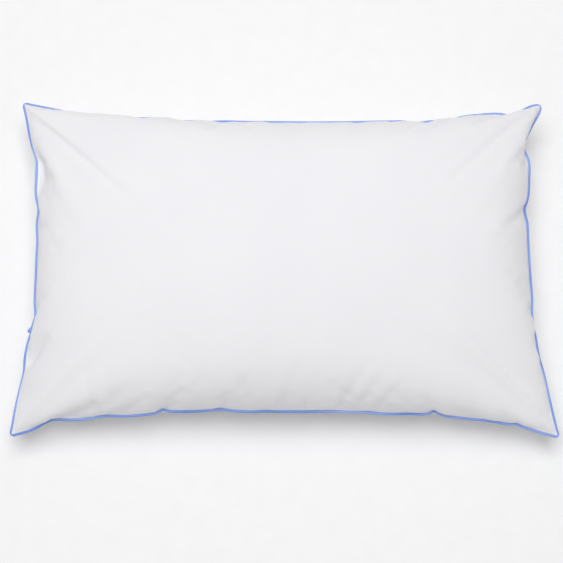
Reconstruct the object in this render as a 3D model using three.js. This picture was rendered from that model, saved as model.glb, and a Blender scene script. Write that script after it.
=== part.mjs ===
/**
 * Bed pillow with a corded piping round its edge, lying flat on its back panel.
 *
 * Millimetres, +Z up. The origin is on the surface that the pillow lies on, under the centre of the
 * pillow. +X runs along the long side, and -Y is the near long side.
 *
 * Every piece is described at stations round the seam. At a station a point has two coordinates:
 * "inset", its distance in from the seam line, and "lift", its height over the seam plane.
 */
import * as THREE from 'three';

// Overall size of the filled pillow
const cornerHalfLength = 354;        // centre to where the seam's sides would meet, along X
const cornerHalfWidth = 229;         // the same along Y
const longSidePullIn = 31;           // how far the middle of a long side draws in when filled
const shortSidePullIn = 31.5;
const pullInPower = 2.5;             // higher keeps the side straighter in its middle
const tipRun = 12;                   // length of each side that the rounding of a tip takes up
const pillowHeight = 170;
const seamHeightAtSides = 72;
const seamDropAtCorners = 22;

// Roll of the panels from the seam to the flat of the pillow
const frontRollWidth = 112;
const backRollWidth = 96;
const cornerRollGrowth = 0.5;        // extra share of the roll's width at a corner
const earWidth = 25;                 // flat ear at a corner, where the panels lie together
const crownShare = 0.06;             // share of the front's rise that is left for its slow crown
const sideRollPower = 0.5;           // 0.5 is a quarter round
const cornerRollPower = 0.3;         // added at a corner, where the rise is gentler

// Cloth, thread and piping
const clothThickness = 0.6;
const stripThickness = 0.5;
const threadThickness = 0.4;
const clearance = 0.3;               // left between neighbouring pieces
const fillClearance = 0.4;           // left between the fill and the panels
const seamAllowance = 12;            // from the seam line to the cut edges
const cordRadius = 1;
const beadStandOff = 0.35;           // between the piping's bead and the panels' folds
const beadSides = 10;
const pipingEndGap = 0.5;            // between the two ends of the piping
const pipingJoinY = -84;             // the piping's ends meet on the left side

// Seams
const seamStitchInset = 0.5;
const seamStitchWidth = 0.5;
const overlockWidth = 4;
const closingSeamX = [0, 150];       // filling opening, in the far side, stitched shut last
const closingLedge = 10;             // width that the closing stitch pinches flat
const closingLedgeRun = 28;          // length over which the pinch fades out
const closingStitchInset = 6;

// Care label, caught in the far seam under the piping
const labelX = [-220, -180];
const labelLength = 52;
const labelThickness = 0.3;
const labelCurl = 3;                 // how far the label's free end stands off
const labelBow = 1;                  // the same half way down

// Fineness of the solids
const longSideStations = 13;
const shortSideStations = 9;
const tipStations = 3;
const fillFirstInset = seamAllowance + 4;
const crownInsets = [4, 9, fillFirstInset, 27, 42, 62, 92, 135, 182];

// How far a panel's fold stands outside the seam line, and the heights of the layers over the seam
// plane, worked out from the thicknesses
const foldReach = 1.25 * clothThickness;
const flangeInner = clearance / 2;
const flangeOuter = flangeInner + stripThickness;
const allowanceOuter = flangeOuter + clearance;
const allowanceInner = allowanceOuter + clothThickness;
const seamThreadInner = allowanceInner + clearance;
const seamThreadOuter = seamThreadInner + threadThickness;
const foldTop = seamThreadOuter + clearance + clothThickness;
const closingThreadInner = foldTop + clearance;
const closingThreadOuter = closingThreadInner + threadThickness;
const beadInnerRadius = cordRadius + clearance;
const beadOuterRadius = beadInnerRadius + stripThickness;
const beadCentreInset = -(foldReach + beadStandOff + beadOuterRadius);

const FRONT = 1;
const BACK = -1;

// ---------------------------------------------------------------- stations round the seam

const sides = [
  { name: 'near', half: cornerHalfLength, out: cornerHalfWidth, pullIn: longSidePullIn,
    count: longSideStations, place: (along, out) => [along, -out] },
  { name: 'right', half: cornerHalfWidth, out: cornerHalfLength, pullIn: shortSidePullIn,
    count: shortSideStations, place: (along, out) => [out, along] },
  { name: 'far', half: cornerHalfLength, out: cornerHalfWidth, pullIn: longSidePullIn,
    count: longSideStations, place: (along, out) => [-along, out] },
  { name: 'left', half: cornerHalfWidth, out: cornerHalfLength, pullIn: shortSidePullIn,
    count: shortSideStations, place: (along, out) => [-out, -along] },
];

/** Plan point on one side of the seam line, at a distance along it from its middle. */
function sidePoint(side, along) {
  const bow = 1 - Math.abs(along / side.half) ** pullInPower;
  const [x, y] = side.place(along, side.out - side.pullIn * bow);
  return new THREE.Vector2(x, y);
}

/** How much of the closing stitch's pinch is felt at a plan point: 1 in the closing seam. */
function closingPinch(x, y) {
  if (y < cornerHalfWidth / 2) {
    return 0;
  }
  const beyond = Math.max(closingSeamX[0] - x, x - closingSeamX[1], 0);
  return 1 - THREE.MathUtils.smoothstep(beyond, 0, closingLedgeRun);
}

/** Station at a plan point of the seam line. */
function stationAt(point, mark = '') {
  const cornerness = Math.abs(point.x * point.y) / (cornerHalfLength * cornerHalfWidth);
  const ear = cornerness ** 3;
  return {
    mark,
    x: point.x,
    y: point.y,
    cornerness,
    ear,
    seamZ: seamHeightAtSides - seamDropAtCorners * cornerness ** 2,
    flat: earWidth * ear + closingLedge * closingPinch(point.x, point.y),
  };
}

/** Distances along a side where something starts or ends, in the direction of travel. */
function marksOn(sideName) {
  if (sideName === 'far') {
    return [
      { along: -closingSeamX[1] - closingLedgeRun, mark: '' },
      { along: -closingSeamX[1], mark: 'closing_start' },
      { along: -closingSeamX[0], mark: 'closing_end' },
      { along: -closingSeamX[0] + closingLedgeRun, mark: '' },
      { along: -labelX[1], mark: 'label_start' },
      { along: -labelX[0], mark: 'label_end' },
    ];
  }
  if (sideName === 'left') {
    return [{ along: -pipingJoinY, mark: 'piping_join' }];
  }
  return [];
}

/** Stations along one side: evenly spaced ones, with the marks in their places among them. */
function sideStations(side) {
  const reach = side.half - tipRun;
  const marks = marksOn(side.name);
  const spacing = (2 * reach) / (side.count - 1);
  const stops = [...marks];
  for (let i = 0; i < side.count; i += 1) {
    const along = -reach + i * spacing;
    const nearMark = marks.some((stop) => Math.abs(stop.along - along) < spacing / 4);
    if (!nearMark) {
      stops.push({ along, mark: '' });
    }
  }
  stops.sort((a, b) => a.along - b.along);
  return stops.map((stop) => stationAt(sidePoint(side, stop.along), stop.mark));
}

/** Stations round the tip between the end of one side and the start of the next. */
function tipStationsBetween(side, nextSide) {
  const start = sidePoint(side, side.half - tipRun);
  const end = sidePoint(nextSide, tipRun - nextSide.half);
  const [cornerX, cornerY] = side.place(side.half, side.out);
  const tip = new THREE.QuadraticBezierCurve(start, new THREE.Vector2(cornerX, cornerY), end);
  const result = [];
  for (let i = 1; i <= tipStations; i += 1) {
    result.push(stationAt(tip.getPoint(i / (tipStations + 1))));
  }
  return result;
}

const allStations = sides.flatMap((side, index) => [
  ...sideStations(side),
  ...tipStationsBetween(side, sides[(index + 1) % sides.length]),
]);

/** The stations from one mark round to another, both included. */
function stationsBetween(startMark, endMark) {
  const start = allStations.findIndex((station) => station.mark === startMark);
  const result = [];
  for (let i = 0; i < allStations.length; i += 1) {
    const station = allStations[(start + i) % allStations.length];
    result.push(station);
    if (i > 0 && station.mark === endMark) {
      break;
    }
  }
  return result;
}

/** Stations of the piping: once round, from one side of its join to the other. */
function pipingStations() {
  const left = sides.find((side) => side.name === 'left');
  const join = allStations.findIndex((station) => station.mark === 'piping_join');
  const start = stationAt(sidePoint(left, -pipingJoinY + pipingEndGap / 2));
  const end = stationAt(sidePoint(left, -pipingJoinY - pipingEndGap / 2));
  return [start, ...allStations.slice(join + 1), ...allStations.slice(0, join), end];
}

// ---------------------------------------------------------------- bodies from sections

/** Where a point of a section lies in space. Insets shrink the outline evenly towards the centre. */
function place(station, [inset, lift]) {
  const share = inset / cornerHalfWidth;
  const spare = cornerHalfLength - cornerHalfWidth;
  const halfLength = (1 - share) * (cornerHalfLength + spare * share);
  const halfWidth = (1 - share) * cornerHalfWidth;
  return [
    (station.x / cornerHalfLength) * halfLength,
    (station.y / cornerHalfWidth) * halfWidth,
    station.seamZ + lift,
  ];
}

/** Six times the volume inside a list of triangles; negative when they face inwards. */
function signedVolume(points, triangles) {
  const [a, b, c] = [new THREE.Vector3(), new THREE.Vector3(), new THREE.Vector3()];
  return triangles.reduce((sum, [i, j, k]) => {
    a.fromArray(points[i]);
    b.fromArray(points[j]);
    c.fromArray(points[k]);
    return sum + a.dot(b.cross(c));
  }, 0);
}

/** Geometry of a closed body, turned so that its faces point out. */
function bodyGeometry(points, triangles) {
  const facing = signedVolume(points, triangles) < 0
    ? triangles.map(([i, j, k]) => [i, k, j])
    : triangles;
  const geometry = new THREE.BufferGeometry();
  geometry.setAttribute('position', new THREE.Float32BufferAttribute(points.flat(), 3));
  geometry.setIndex(facing.flat());
  geometry.computeVertexNormals();
  return geometry;
}

/**
 * Body swept round the seam. An unclosed sweep is capped at its two ends. Each four-sided face is
 * split along the diagonal that runs outwards, so that neighbouring layers bend alike.
 */
function sweptBody(stations, sectionAt, isClosed) {
  const sections = stations.map(sectionAt);
  const points = stations.flatMap((station, i) => sections[i].map((point) => place(station, point)));
  const triangles = [];
  const size = sections[0].length;
  const spans = isClosed ? stations.length : stations.length - 1;
  for (let i = 0; i < spans; i += 1) {
    const here = i * size;
    const next = ((i + 1) % stations.length) * size;
    for (let j = 0; j < size; j += 1) {
      const k = (j + 1) % size;
      if (sections[i][j][0] >= sections[i][k][0]) {
        triangles.push([here + j, next + j, next + k], [here + j, next + k, here + k]);
      } else {
        triangles.push([here + j, next + j, here + k], [next + j, next + k, here + k]);
      }
    }
  }
  if (!isClosed) {
    const cap = capTriangles(sections[0]);
    const last = (stations.length - 1) * size;
    cap.forEach(([i, j, k]) => triangles.push([i, j, k], [last + i, last + k, last + j]));
  }
  return bodyGeometry(points, triangles);
}

/** Triangles over one section, wound the way that the sweep's start needs. */
function capTriangles(section) {
  const contour = section.map(([inset, lift]) => new THREE.Vector2(inset, lift));
  const isClockwise = THREE.ShapeUtils.isClockWise(contour);
  const faces = THREE.ShapeUtils.triangulateShape(contour, []);
  return faces.map((face) => {
    const [i, j, k] = face;
    const [a, b, c] = [contour[i], contour[j], contour[k]];
    const turn = (b.x - a.x) * (c.y - a.y) - (b.y - a.y) * (c.x - a.x);
    return (turn < 0) === isClockwise ? [i, j, k] : [i, k, j];
  });
}

/**
 * Body between two skins that meet at a rim and each close at a pole over the pillow's centre.
 * Each skin gives, at a station, its points from the rim to the pole.
 */
function domedBody(firstSkin, secondSkin) {
  const points = [];
  const triangles = [];
  const count = allStations.length;
  const skins = [firstSkin, secondSkin].map((skin, side) => {
    const paths = allStations.map(skin);
    const rings = paths[0].length - 1;
    const base = points.length;
    for (let ring = 0; ring < rings; ring += 1) {
      allStations.forEach((station, i) => points.push(place(station, paths[i][ring])));
    }
    const pole = points.length;
    points.push(place(allStations[0], paths[0][rings]));
    const push = (i, j, k) => triangles.push(side === 0 ? [i, j, k] : [i, k, j]);
    for (let i = 0; i < count; i += 1) {
      const next = (i + 1) % count;
      for (let ring = 0; ring < rings - 1; ring += 1) {
        const low = base + ring * count;
        const high = low + count;
        push(low + i, low + next, high + next);
        push(low + i, high + next, high + i);
      }
      push(base + (rings - 1) * count + i, base + (rings - 1) * count + next, pole);
    }
    return base;
  });
  const [first, second] = skins;
  for (let i = 0; i < count; i += 1) {
    const next = (i + 1) % count;
    triangles.push([first + i, second + i, second + next], [first + i, second + next, first + next]);
  }
  return bodyGeometry(points, triangles);
}

// ---------------------------------------------------------------- sections of the pieces

/** How much of its rise a panel has made at an inset, for a roll of a given width. */
function rollShare(station, inset, rollWidth) {
  const width = rollWidth * (1 + cornerRollGrowth * station.cornerness ** 2);
  const run = THREE.MathUtils.clamp((inset - station.flat) / width, 0, 1);
  return (1 - (1 - run) ** 2) ** (sideRollPower + cornerRollPower * station.ear);
}

/** Distance of the front panel's outer face over the seam plane. */
function frontLift(station, inset) {
  const rise = pillowHeight - station.seamZ - foldTop;
  const wayToCentre = Math.max(inset - station.flat, 0) / (cornerHalfWidth - station.flat);
  const centreShare = 1 - (1 - wayToCentre) ** 2;
  const roll = rollShare(station, inset, frontRollWidth);
  return foldTop + rise * ((1 - crownShare) * roll + crownShare * centreShare);
}

/** Distance of the back panel's outer face under the seam plane. It lies flat under the middle. */
function backLift(station, inset) {
  const drop = station.seamZ - foldTop;
  return foldTop + drop * rollShare(station, inset, backRollWidth);
}

/** Points on a panel's outer face where it leaves the fold and rolls over to the pole. */
function crownPath(station, side) {
  const lift = side === FRONT ? frontLift : backLift;
  return [...crownInsets, cornerHalfWidth].map((inset) => [inset, lift(station, inset)]);
}

/** A panel's outer face: from its cut edge, along the allowance, round the fold, to the pole. */
function panelOuterPath(station, side) {
  return [
    [seamAllowance, allowanceOuter],
    [clothThickness / 2, allowanceOuter],
    [-foldReach, allowanceOuter + clothThickness],
    [-foldReach, foldTop - clothThickness],
    [clothThickness / 2, foldTop],
    ...crownPath(station, side),
  ];
}

/** The same path moved towards the fill. Its last point is the pole and only moves down. */
function movedIn(path, depth) {
  const points = path.map(([inset, lift]) => new THREE.Vector2(inset, lift));
  return points.map((point, i) => {
    const before = points[Math.max(i - 1, 0)];
    const after = points[Math.min(i + 1, points.length - 1)];
    const arriving = point.clone().sub(before).normalize();
    const leaving = after.clone().sub(point).normalize();
    const along = arriving.clone().add(leaving).normalize();
    const straightness = i === 0 || i === points.length - 1 ? 1 : along.dot(leaving);
    if (i === points.length - 1) {
      return [point.x, point.y - depth];
    }
    return [point.x + (along.y * depth) / straightness, point.y - (along.x * depth) / straightness];
  });
}

const onSide = (path, side) => path.map(([inset, lift]) => [inset, lift * side]);

function panelGeometry(side) {
  const outer = (station) => onSide(panelOuterPath(station, side), side);
  const inner = (station) => onSide(movedIn(panelOuterPath(station, side), clothThickness), side);
  return domedBody(outer, inner);
}

/** The fill's face under one panel, from its blunt edge to the pole. */
function fillPath(station, side) {
  const path = movedIn(crownPath(station, side), clothThickness + fillClearance);
  return onSide(path.slice(crownInsets.indexOf(fillFirstInset)), side);
}

function fillGeometry() {
  return domedBody((station) => fillPath(station, FRONT), (station) => fillPath(station, BACK));
}

/** Points on a round of the bead, from an angle to another, measured from the inward direction. */
function beadArc(radius, fromAngle, toAngle) {
  const arc = [];
  for (let i = 0; i <= beadSides; i += 1) {
    const angle = fromAngle + ((toAngle - fromAngle) * i) / beadSides;
    arc.push([beadCentreInset + radius * Math.cos(angle), radius * Math.sin(angle)]);
  }
  return arc;
}

/** Folded strip: round the cord, then flat as two layers between the panels' allowances. */
function pipingCoverSection() {
  const outerStart = Math.asin(flangeOuter / beadOuterRadius);
  const innerStart = Math.asin(flangeInner / beadInnerRadius);
  const fullTurn = 2 * Math.PI;
  return [
    [seamAllowance, flangeInner],
    [seamAllowance, flangeOuter],
    ...beadArc(beadOuterRadius, outerStart, fullTurn - outerStart),
    [seamAllowance, -flangeOuter],
    [seamAllowance, -flangeInner],
    ...beadArc(beadInnerRadius, fullTurn - innerStart, innerStart),
  ];
}

function pipingCordSection() {
  const arc = beadArc(cordRadius, 0, 2 * Math.PI);
  return arc.slice(0, beadSides);
}

/** Straight-sided section of a thread that lies along a seam. */
function threadSection(inset, width, innerLift, outerLift, side) {
  const section = [
    [inset, innerLift],
    [inset + width, innerLift],
    [inset + width, outerLift],
    [inset, outerLift],
  ];
  return onSide(section, side);
}

const seamThreadSection = (side) => threadSection(
  seamStitchInset, seamStitchWidth, seamThreadInner, seamThreadOuter, side,
);

const closingThreadSection = (side) => threadSection(
  closingStitchInset, seamStitchWidth, closingThreadInner, closingThreadOuter, side,
);

/** Overlock thread wrapped round the cut edges of all the layers. */
function overlockSection() {
  const start = seamAllowance - overlockWidth;
  const end = seamAllowance + clearance;
  return [
    [start, seamThreadInner],
    [start, seamThreadOuter],
    [end + threadThickness, seamThreadOuter],
    [end + threadThickness, -seamThreadOuter],
    [start, -seamThreadOuter],
    [start, -seamThreadInner],
    [end, -seamThreadInner],
    [end, seamThreadInner],
  ];
}

/** Care label: caught under the bead, then hanging down outside the back panel. */
function careLabelSection() {
  const caught = [-foldReach - 2 * clearance, -allowanceInner - labelThickness / 2];
  const clearOfBead = [beadCentreInset, -beadOuterRadius - 2 * clearance];
  const middle = [beadCentreInset - labelBow, -labelLength / 2];
  const freeEnd = [beadCentreInset - labelCurl, -labelLength];
  const under = [caught, clearOfBead, middle, freeEnd];
  const over = under.map(([inset, lift], i) => (
    i < 2 ? [inset, lift + labelThickness] : [inset - labelThickness, lift]
  ));
  return [...under, ...over.reverse()];
}

// ---------------------------------------------------------------- materials and nodes

const cottonWhite = new THREE.MeshStandardMaterial({ color: 0xf2f2f5, roughness: 0.9, metalness: 0 });
const pipingBlue = new THREE.MeshStandardMaterial({ color: 0x6f95d8, roughness: 0.75, metalness: 0 });
const cordWhite = new THREE.MeshStandardMaterial({ color: 0xe6e4dc, roughness: 0.95, metalness: 0 });
const fibreWhite = new THREE.MeshStandardMaterial({ color: 0xf7f7f7, roughness: 1, metalness: 0 });
const threadWhite = new THREE.MeshStandardMaterial({ color: 0xfafafa, roughness: 0.6, metalness: 0 });
const satinWhite = new THREE.MeshStandardMaterial({ color: 0xf5f5f3, roughness: 0.5, metalness: 0 });

const pillow = new THREE.Group();

function addNode(name, geometry, material) {
  const mesh = new THREE.Mesh(geometry, material);
  mesh.name = name;
  pillow.add(mesh);
}

function addSeamThreads() {
  const stations = stationsBetween('closing_end', 'closing_start');
  const needle = sweptBody(stations, () => seamThreadSection(FRONT), false);
  const bobbin = sweptBody(stations, () => seamThreadSection(BACK), false);
  addNode('seam_needle_thread', needle, threadWhite);
  addNode('seam_bobbin_thread', bobbin, threadWhite);
  addNode('overlock_thread', sweptBody(stations, overlockSection, false), threadWhite);
}

function addClosingThreads() {
  const stations = stationsBetween('closing_start', 'closing_end');
  const needle = sweptBody(stations, () => closingThreadSection(FRONT), false);
  const bobbin = sweptBody(stations, () => closingThreadSection(BACK), false);
  addNode('closing_needle_thread', needle, threadWhite);
  addNode('closing_bobbin_thread', bobbin, threadWhite);
}

addNode('front_panel', panelGeometry(FRONT), cottonWhite);
addNode('back_panel', panelGeometry(BACK), cottonWhite);
addNode('fill', fillGeometry(), fibreWhite);
addNode('piping_cover', sweptBody(pipingStations(), pipingCoverSection, false), pipingBlue);
addNode('piping_cord', sweptBody(pipingStations(), pipingCordSection, false), cordWhite);
addSeamThreads();
addClosingThreads();
addNode('care_label', sweptBody(stationsBetween('label_start', 'label_end'), careLabelSection, false), satinWhite);

export default pillow;
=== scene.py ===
"""A filled bed pillow with blue piping: two cotton panels blown up by cloth simulation over a fibre
batt, with the piping, its cord, every row of stitches and the care label laid along the seam."""

import math

import bpy
import numpy as np
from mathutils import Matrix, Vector


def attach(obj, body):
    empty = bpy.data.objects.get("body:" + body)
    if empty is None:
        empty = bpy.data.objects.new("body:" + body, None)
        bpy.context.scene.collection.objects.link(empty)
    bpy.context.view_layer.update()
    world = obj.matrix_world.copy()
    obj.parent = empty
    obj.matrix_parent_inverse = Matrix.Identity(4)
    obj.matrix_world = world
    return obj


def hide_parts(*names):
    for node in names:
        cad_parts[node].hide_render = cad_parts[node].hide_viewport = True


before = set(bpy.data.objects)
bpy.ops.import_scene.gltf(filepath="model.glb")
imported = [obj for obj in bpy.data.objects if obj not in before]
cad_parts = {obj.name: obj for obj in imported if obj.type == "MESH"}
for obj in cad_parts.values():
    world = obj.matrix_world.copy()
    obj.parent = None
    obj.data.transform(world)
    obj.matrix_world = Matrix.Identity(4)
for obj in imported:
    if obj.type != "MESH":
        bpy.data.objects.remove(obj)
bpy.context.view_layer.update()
MM = 0.001

# ---------------------------------------- driving dimensions, in metres

STITCHED_LENGTH = 0.731         # flat cloth between the stitch lines, along X
STITCHED_WIDTH = 0.476          # and along Y
ALLOWANCE = 12 * MM             # cloth turned in past the stitch line
CLOTH = 0.6 * MM                # panel thickness
STRIP = 0.5 * MM                # piping strip thickness
THREAD_RADIUS = 0.2 * MM
BEAD_RADIUS = 1.8 * MM          # outside of the piping
CORD_RADIUS = 1.2 * MM
CORD_LAY = 9 * MM               # one full twist of the cord
CORD_PLIES = 3
CORD_SIDES = 12                 # corners round the cord
CORD_STEP = 1.5 * MM            # and how far apart its rings are
BEAD_ROWS = 17                  # corners round the strip's bead
HIDDEN_THREAD_SIDES = 4
SHOWN_THREAD_SIDES = 6
FLANGE_LIFT = 0.4 * MM          # middle of each flange layer above the seam plane
ALLOWANCE_LIFT = 1.0 * MM       # middle of the turned-in cloth above the seam plane
ALLOWANCE_ROWS = (2 * MM, 5 * MM, 8.5 * MM, ALLOWANCE)      # rows of corners across it, from the seam
FLANGE_ROWS = (ALLOWANCE, 8 * MM, 4 * MM, 1 * MM)           # and across the strip's flange, to the seam
OUTER_LIFT = 2.2 * MM           # middle of the outer cloth above the seam plane, at the seam
FOLD_RADIUS = (OUTER_LIFT - ALLOWANCE_LIFT) / 2     # of the panel's fold against the piping
FOLD_LIFT = (OUTER_LIFT + ALLOWANCE_LIFT) / 2       # its middle above the seam plane
TIP_TRIM = 35 * MM              # the turned-in layers are cut narrower this near to a tip
TIP_SHARE = 0.3                 # of their width that is left at the tip itself
EAR_LOFT = 3 * MM               # how much further from the middle each panel stands in an empty ear
LOFT_REACH = 6 * MM             # about how far in from the seam it gets there
THREAD_LIFT = ALLOWANCE_LIFT + CLOTH / 2 + THREAD_RADIUS    # of threads lying on the turned-in cloth
LOCK_LIFT = 0.25 * MM           # of each thread from the seam plane where the two lock
STITCH_DEPTH = 1.2 * MM         # the piping seam's stitches inside the stitch line
STITCH_LENGTH = 2.8 * MM
OVERLOCK_STEP = 3.2 * MM
OVERLOCK_WIDTH = 4.5 * MM
CLOSING_RANGE = (0.0, 0.150)    # along the far side, where the filling slit was sewn up
CLOSING_INSET = 6 * MM
LABEL_RANGE = (-0.220, -0.180)  # along the far side
LABEL_DROP = 46 * MM
LABEL_TAPE = 0.3 * MM
LABEL_CLEARANCE = 0.9 * MM      # from the back panel's cloth
LABEL_MARGIN = 10 * MM          # the label clears the cloth this far to each side of it too
LABEL_COLUMNS = 13
LABEL_ROWS = 20
LABEL_CURL = 2.5 * MM           # how far its lower end curls outwards
LABEL_BOW = 0.6 * MM            # and how far the middle of that end bows
JOIN_Y = -0.084                 # where the two ends of the piping meet, on the left side
JOIN_OVERLAP = 13 * MM
JOIN_POKE = 2.6 * MM            # how far the lapped end stands out of the row
LAP_DEPTH = 0.3 * MM            # the lapped end's flange is trimmed to this depth inside the stitches
LAP_STEP = 0.2 * MM             # which leaves its rows this far apart in all
LAP_SWELL = 0.36                # share by which the bead is wider where the strip laps
END_SWELL = 0.30                # and by which it is wider still at the cut end
FILL_INSET = 16 * MM            # the batt starts this far inside the stitch line
FILL_CLEARANCE = 0.9 * MM
FILL_COLUMNS = 101
FILL_ROWS = 67
FILL_NAP = 0.35 * MM            # unevenness of the batt's surface
FILL_RIM = 1 * MM               # how far its edge bulges
FLOOR_CLEARANCE = 0.1 * MM

# ---------------------------------------- the cloth simulation

CELLS_X = 75                    # squares of simulated cloth along X
CELLS_Y = 50                    # and along Y
FRAMES = 45
EAR_FRAMES = 20                 # the ears reach their places in this many frames
START_HEIGHT = 0.060            # the seam of the flat case above the table
START_CROWN = 0.030             # how far each sheet bulges before it is filled
TARGET_VOLUME = 0.056           # what the filling pushes for, in cubic metres; the cloth stops it short
PRESSURE_KEYS = ((1, 0.4), (12, 4.0), (30, 60.0))       # frame, and how hard the filling pushes then
TABLE_LEVEL = -3 * MM           # the simulation's table, a little low for the gap that the solver keeps
SOLVER_GAP = 2 * MM
SEAM_SHRINK = 0.006             # the piped seam is shorter than the cloth that it gathers
EAR_PRESSURE = 0.1              # share of the pressure that reaches the tips
EASE = 0.1                      # share of each neighbour in the smoothing of the sheets
EDGE_STEPS = (0, 1.2, 2.4, 4.0, 6.0, 8.3)       # fine rows beside the seam, in millimetres from it
FINE_CELL = 3.2 * MM            # and the rows' spacing elsewhere
FRAME_ROWS = 5                  # the seam's directions are taken this many rows in
LEAD_ROWS = 3                   # and each panel's slope beside it this many
SHIFT_REACH = 3.5 * MM          # about how far in a panel moves to meet its fold

# Where the seam is drawn to round each corner, in millimetres from the middle of the pillow: the tip,
# points back along the long side and along the short side, and how far the slack ear reaches each way.
EARS = {
    "near_left": (
        (-355, -231, 45),
        ((-332, -226, 46), (-305, -209, 52), (-277, -214, 52), (-226, -207, 58), (-173, -201, 64)),
        ((-345, -166, 50), (-334, -97, 58), (-316, -62, 66), (-317, -30, 68)),
        (53, 170),
    ),
    "near_right": (
        (359, -233, 45),
        ((332, -227, 47), (317, -218, 50), (295, -217, 52), (258, -209, 56), (219, -209, 60),
         (201, -201, 64)),
        ((348, -182, 50), (336, -122, 60), (326, -67, 68), (323, -55, 70), (322, -34, 70)),
        (50, 170),
    ),
    "far_right": (
        (352, 222, 62),
        ((330, 212, 66), (303, 199, 70), (240, 193, 76)),
        ((341, 203, 62), (334, 184, 66), (320, 166, 69), (323, 130, 70)),
        (52, 54),
    ),
    "far_left": (
        (-355, 226, 58),
        ((-310, 213, 64), (-262, 201, 71), (-190, 193, 80), (-90, 189, 84)),
        ((-341, 164, 60), (-326, 130, 68), (-321, 60, 70)),
        (95, 93),
    ),
}


def flat_grid():
    """Corner numbers of the two sheets, which share their border, and the starting places."""
    number = np.zeros((2, CELLS_Y + 1, CELLS_X + 1), int)
    places = []
    for sheet, rise in ((0, 1), (1, -1)):
        for j in range(CELLS_Y + 1):
            for i in range(CELLS_X + 1):
                if sheet and (i in (0, CELLS_X) or j in (0, CELLS_Y)):
                    number[1, j, i] = number[0, j, i]
                    continue
                across = 2 * i / CELLS_X - 1
                along = 2 * j / CELLS_Y - 1
                crown = START_CROWN * (1 - across**2) * (1 - along**2)
                number[sheet, j, i] = len(places)
                places.append((across * STITCHED_LENGTH / 2, along * STITCHED_WIDTH / 2,
                               START_HEIGHT + rise * crown))
    return number, np.array(places)


def corner_numbers(places):
    """Numbers the corners of a grid of places row by row."""
    return np.arange(places[..., 0].size).reshape(places.shape[:2])


def quads(number):
    """The faces between neighbouring corners of a grid of corner numbers."""
    a, b = number[:-1, :-1], number[:-1, 1:]
    c, d = number[1:, 1:], number[1:, :-1]
    return np.stack([a, b, c, d], -1).reshape(-1, 4)


def ear_targets(number):
    """Where each seam corner of an ear is drawn to, and how firmly: fully at the tip, then less."""
    targets = {}
    for tip, long_way, short_way, _ in EARS.values():
        side_x, side_y = np.sign(tip[:2]).astype(int)
        column = 0 if side_x < 0 else CELLS_X
        row = 0 if side_y < 0 else CELLS_Y
        for way, (step_i, step_j), cell in (
            (long_way, (-side_x, 0), STITCHED_LENGTH / CELLS_X),
            (short_way, (0, -side_y), STITCHED_WIDTH / CELLS_Y),
        ):
            line = np.array([tip, *way]) * MM
            reach = np.r_[0, np.cumsum(np.linalg.norm(np.diff(line, axis=0), axis=1))]
            for k in range(int(reach[-1] / (cell * (1 - SEAM_SHRINK))) + 1):
                gone = k * cell * (1 - SEAM_SHRINK)
                place = [np.interp(gone, reach, line[:, c]) for c in range(3)]
                hold = 1 - gone / reach[-1]
                targets[int(number[0, row + k * step_j, column + k * step_i])] = (place, hold)
    return targets


def pressure_share(places):
    """Less pressure inside the ears, where hardly any filling reaches."""
    share = np.ones(len(places))
    for tip, _, _, (run, rise) in EARS.values():
        side_x, side_y = np.sign(tip[:2])
        from_x = np.abs(places[:, 0] - side_x * STITCHED_LENGTH / 2)
        from_y = np.abs(places[:, 1] - side_y * STITCHED_WIDTH / 2)
        deep = np.clip(2 * (from_x / (run * MM) + from_y / (rise * MM)) - 1, 0, 1)
        share = np.minimum(share, EAR_PRESSURE + (1 - EAR_PRESSURE) * deep * deep * (3 - 2 * deep))
    return share


def weigh(piece, name, weights):
    """A vertex group from pairs of corner and weight."""
    group = piece.vertex_groups.new(name=name)
    for corner, weight in weights:
        group.add([int(corner)], float(weight), "REPLACE")


def set_cloth(piece):
    """Cotton percale over a fixed amount of filling, with the seam gathered a little."""
    cloth = piece.modifiers.new("cloth", "CLOTH")
    s = cloth.settings
    s.quality = 8
    s.mass = 6e-5               # kilograms at each corner
    s.fluid_density = 0.03      # kilograms of filling in each litre
    s.tension_stiffness = s.compression_stiffness = 40
    s.shear_stiffness = 10
    s.bending_stiffness = 0.5
    s.tension_damping = s.compression_damping = s.shear_damping = 10
    s.bending_damping = 0.5
    s.air_damping = 5
    s.vertex_group_mass = "held"
    s.vertex_group_structural_stiffness = "seam"
    s.tension_stiffness_max = s.compression_stiffness_max = 80
    s.vertex_group_shrink = "seam"
    s.shrink_max = SEAM_SHRINK
    s.use_pressure = True
    s.uniform_pressure_force = 0
    s.use_pressure_volume = True
    s.target_volume = TARGET_VOLUME
    s.vertex_group_pressure = "filled"
    for when, factor in PRESSURE_KEYS:
        s.pressure_factor = factor
        s.keyframe_insert("pressure_factor", frame=when)
    cloth.collision_settings.distance_min = SOLVER_GAP
    cloth.collision_settings.collision_quality = 2
    cloth.point_cache.frame_end = FRAMES


def square(half, height):
    """The corners of a level square, anticlockwise."""
    return [(-half, -half, height), (half, -half, height), (half, half, height), (-half, half, height)]


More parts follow.
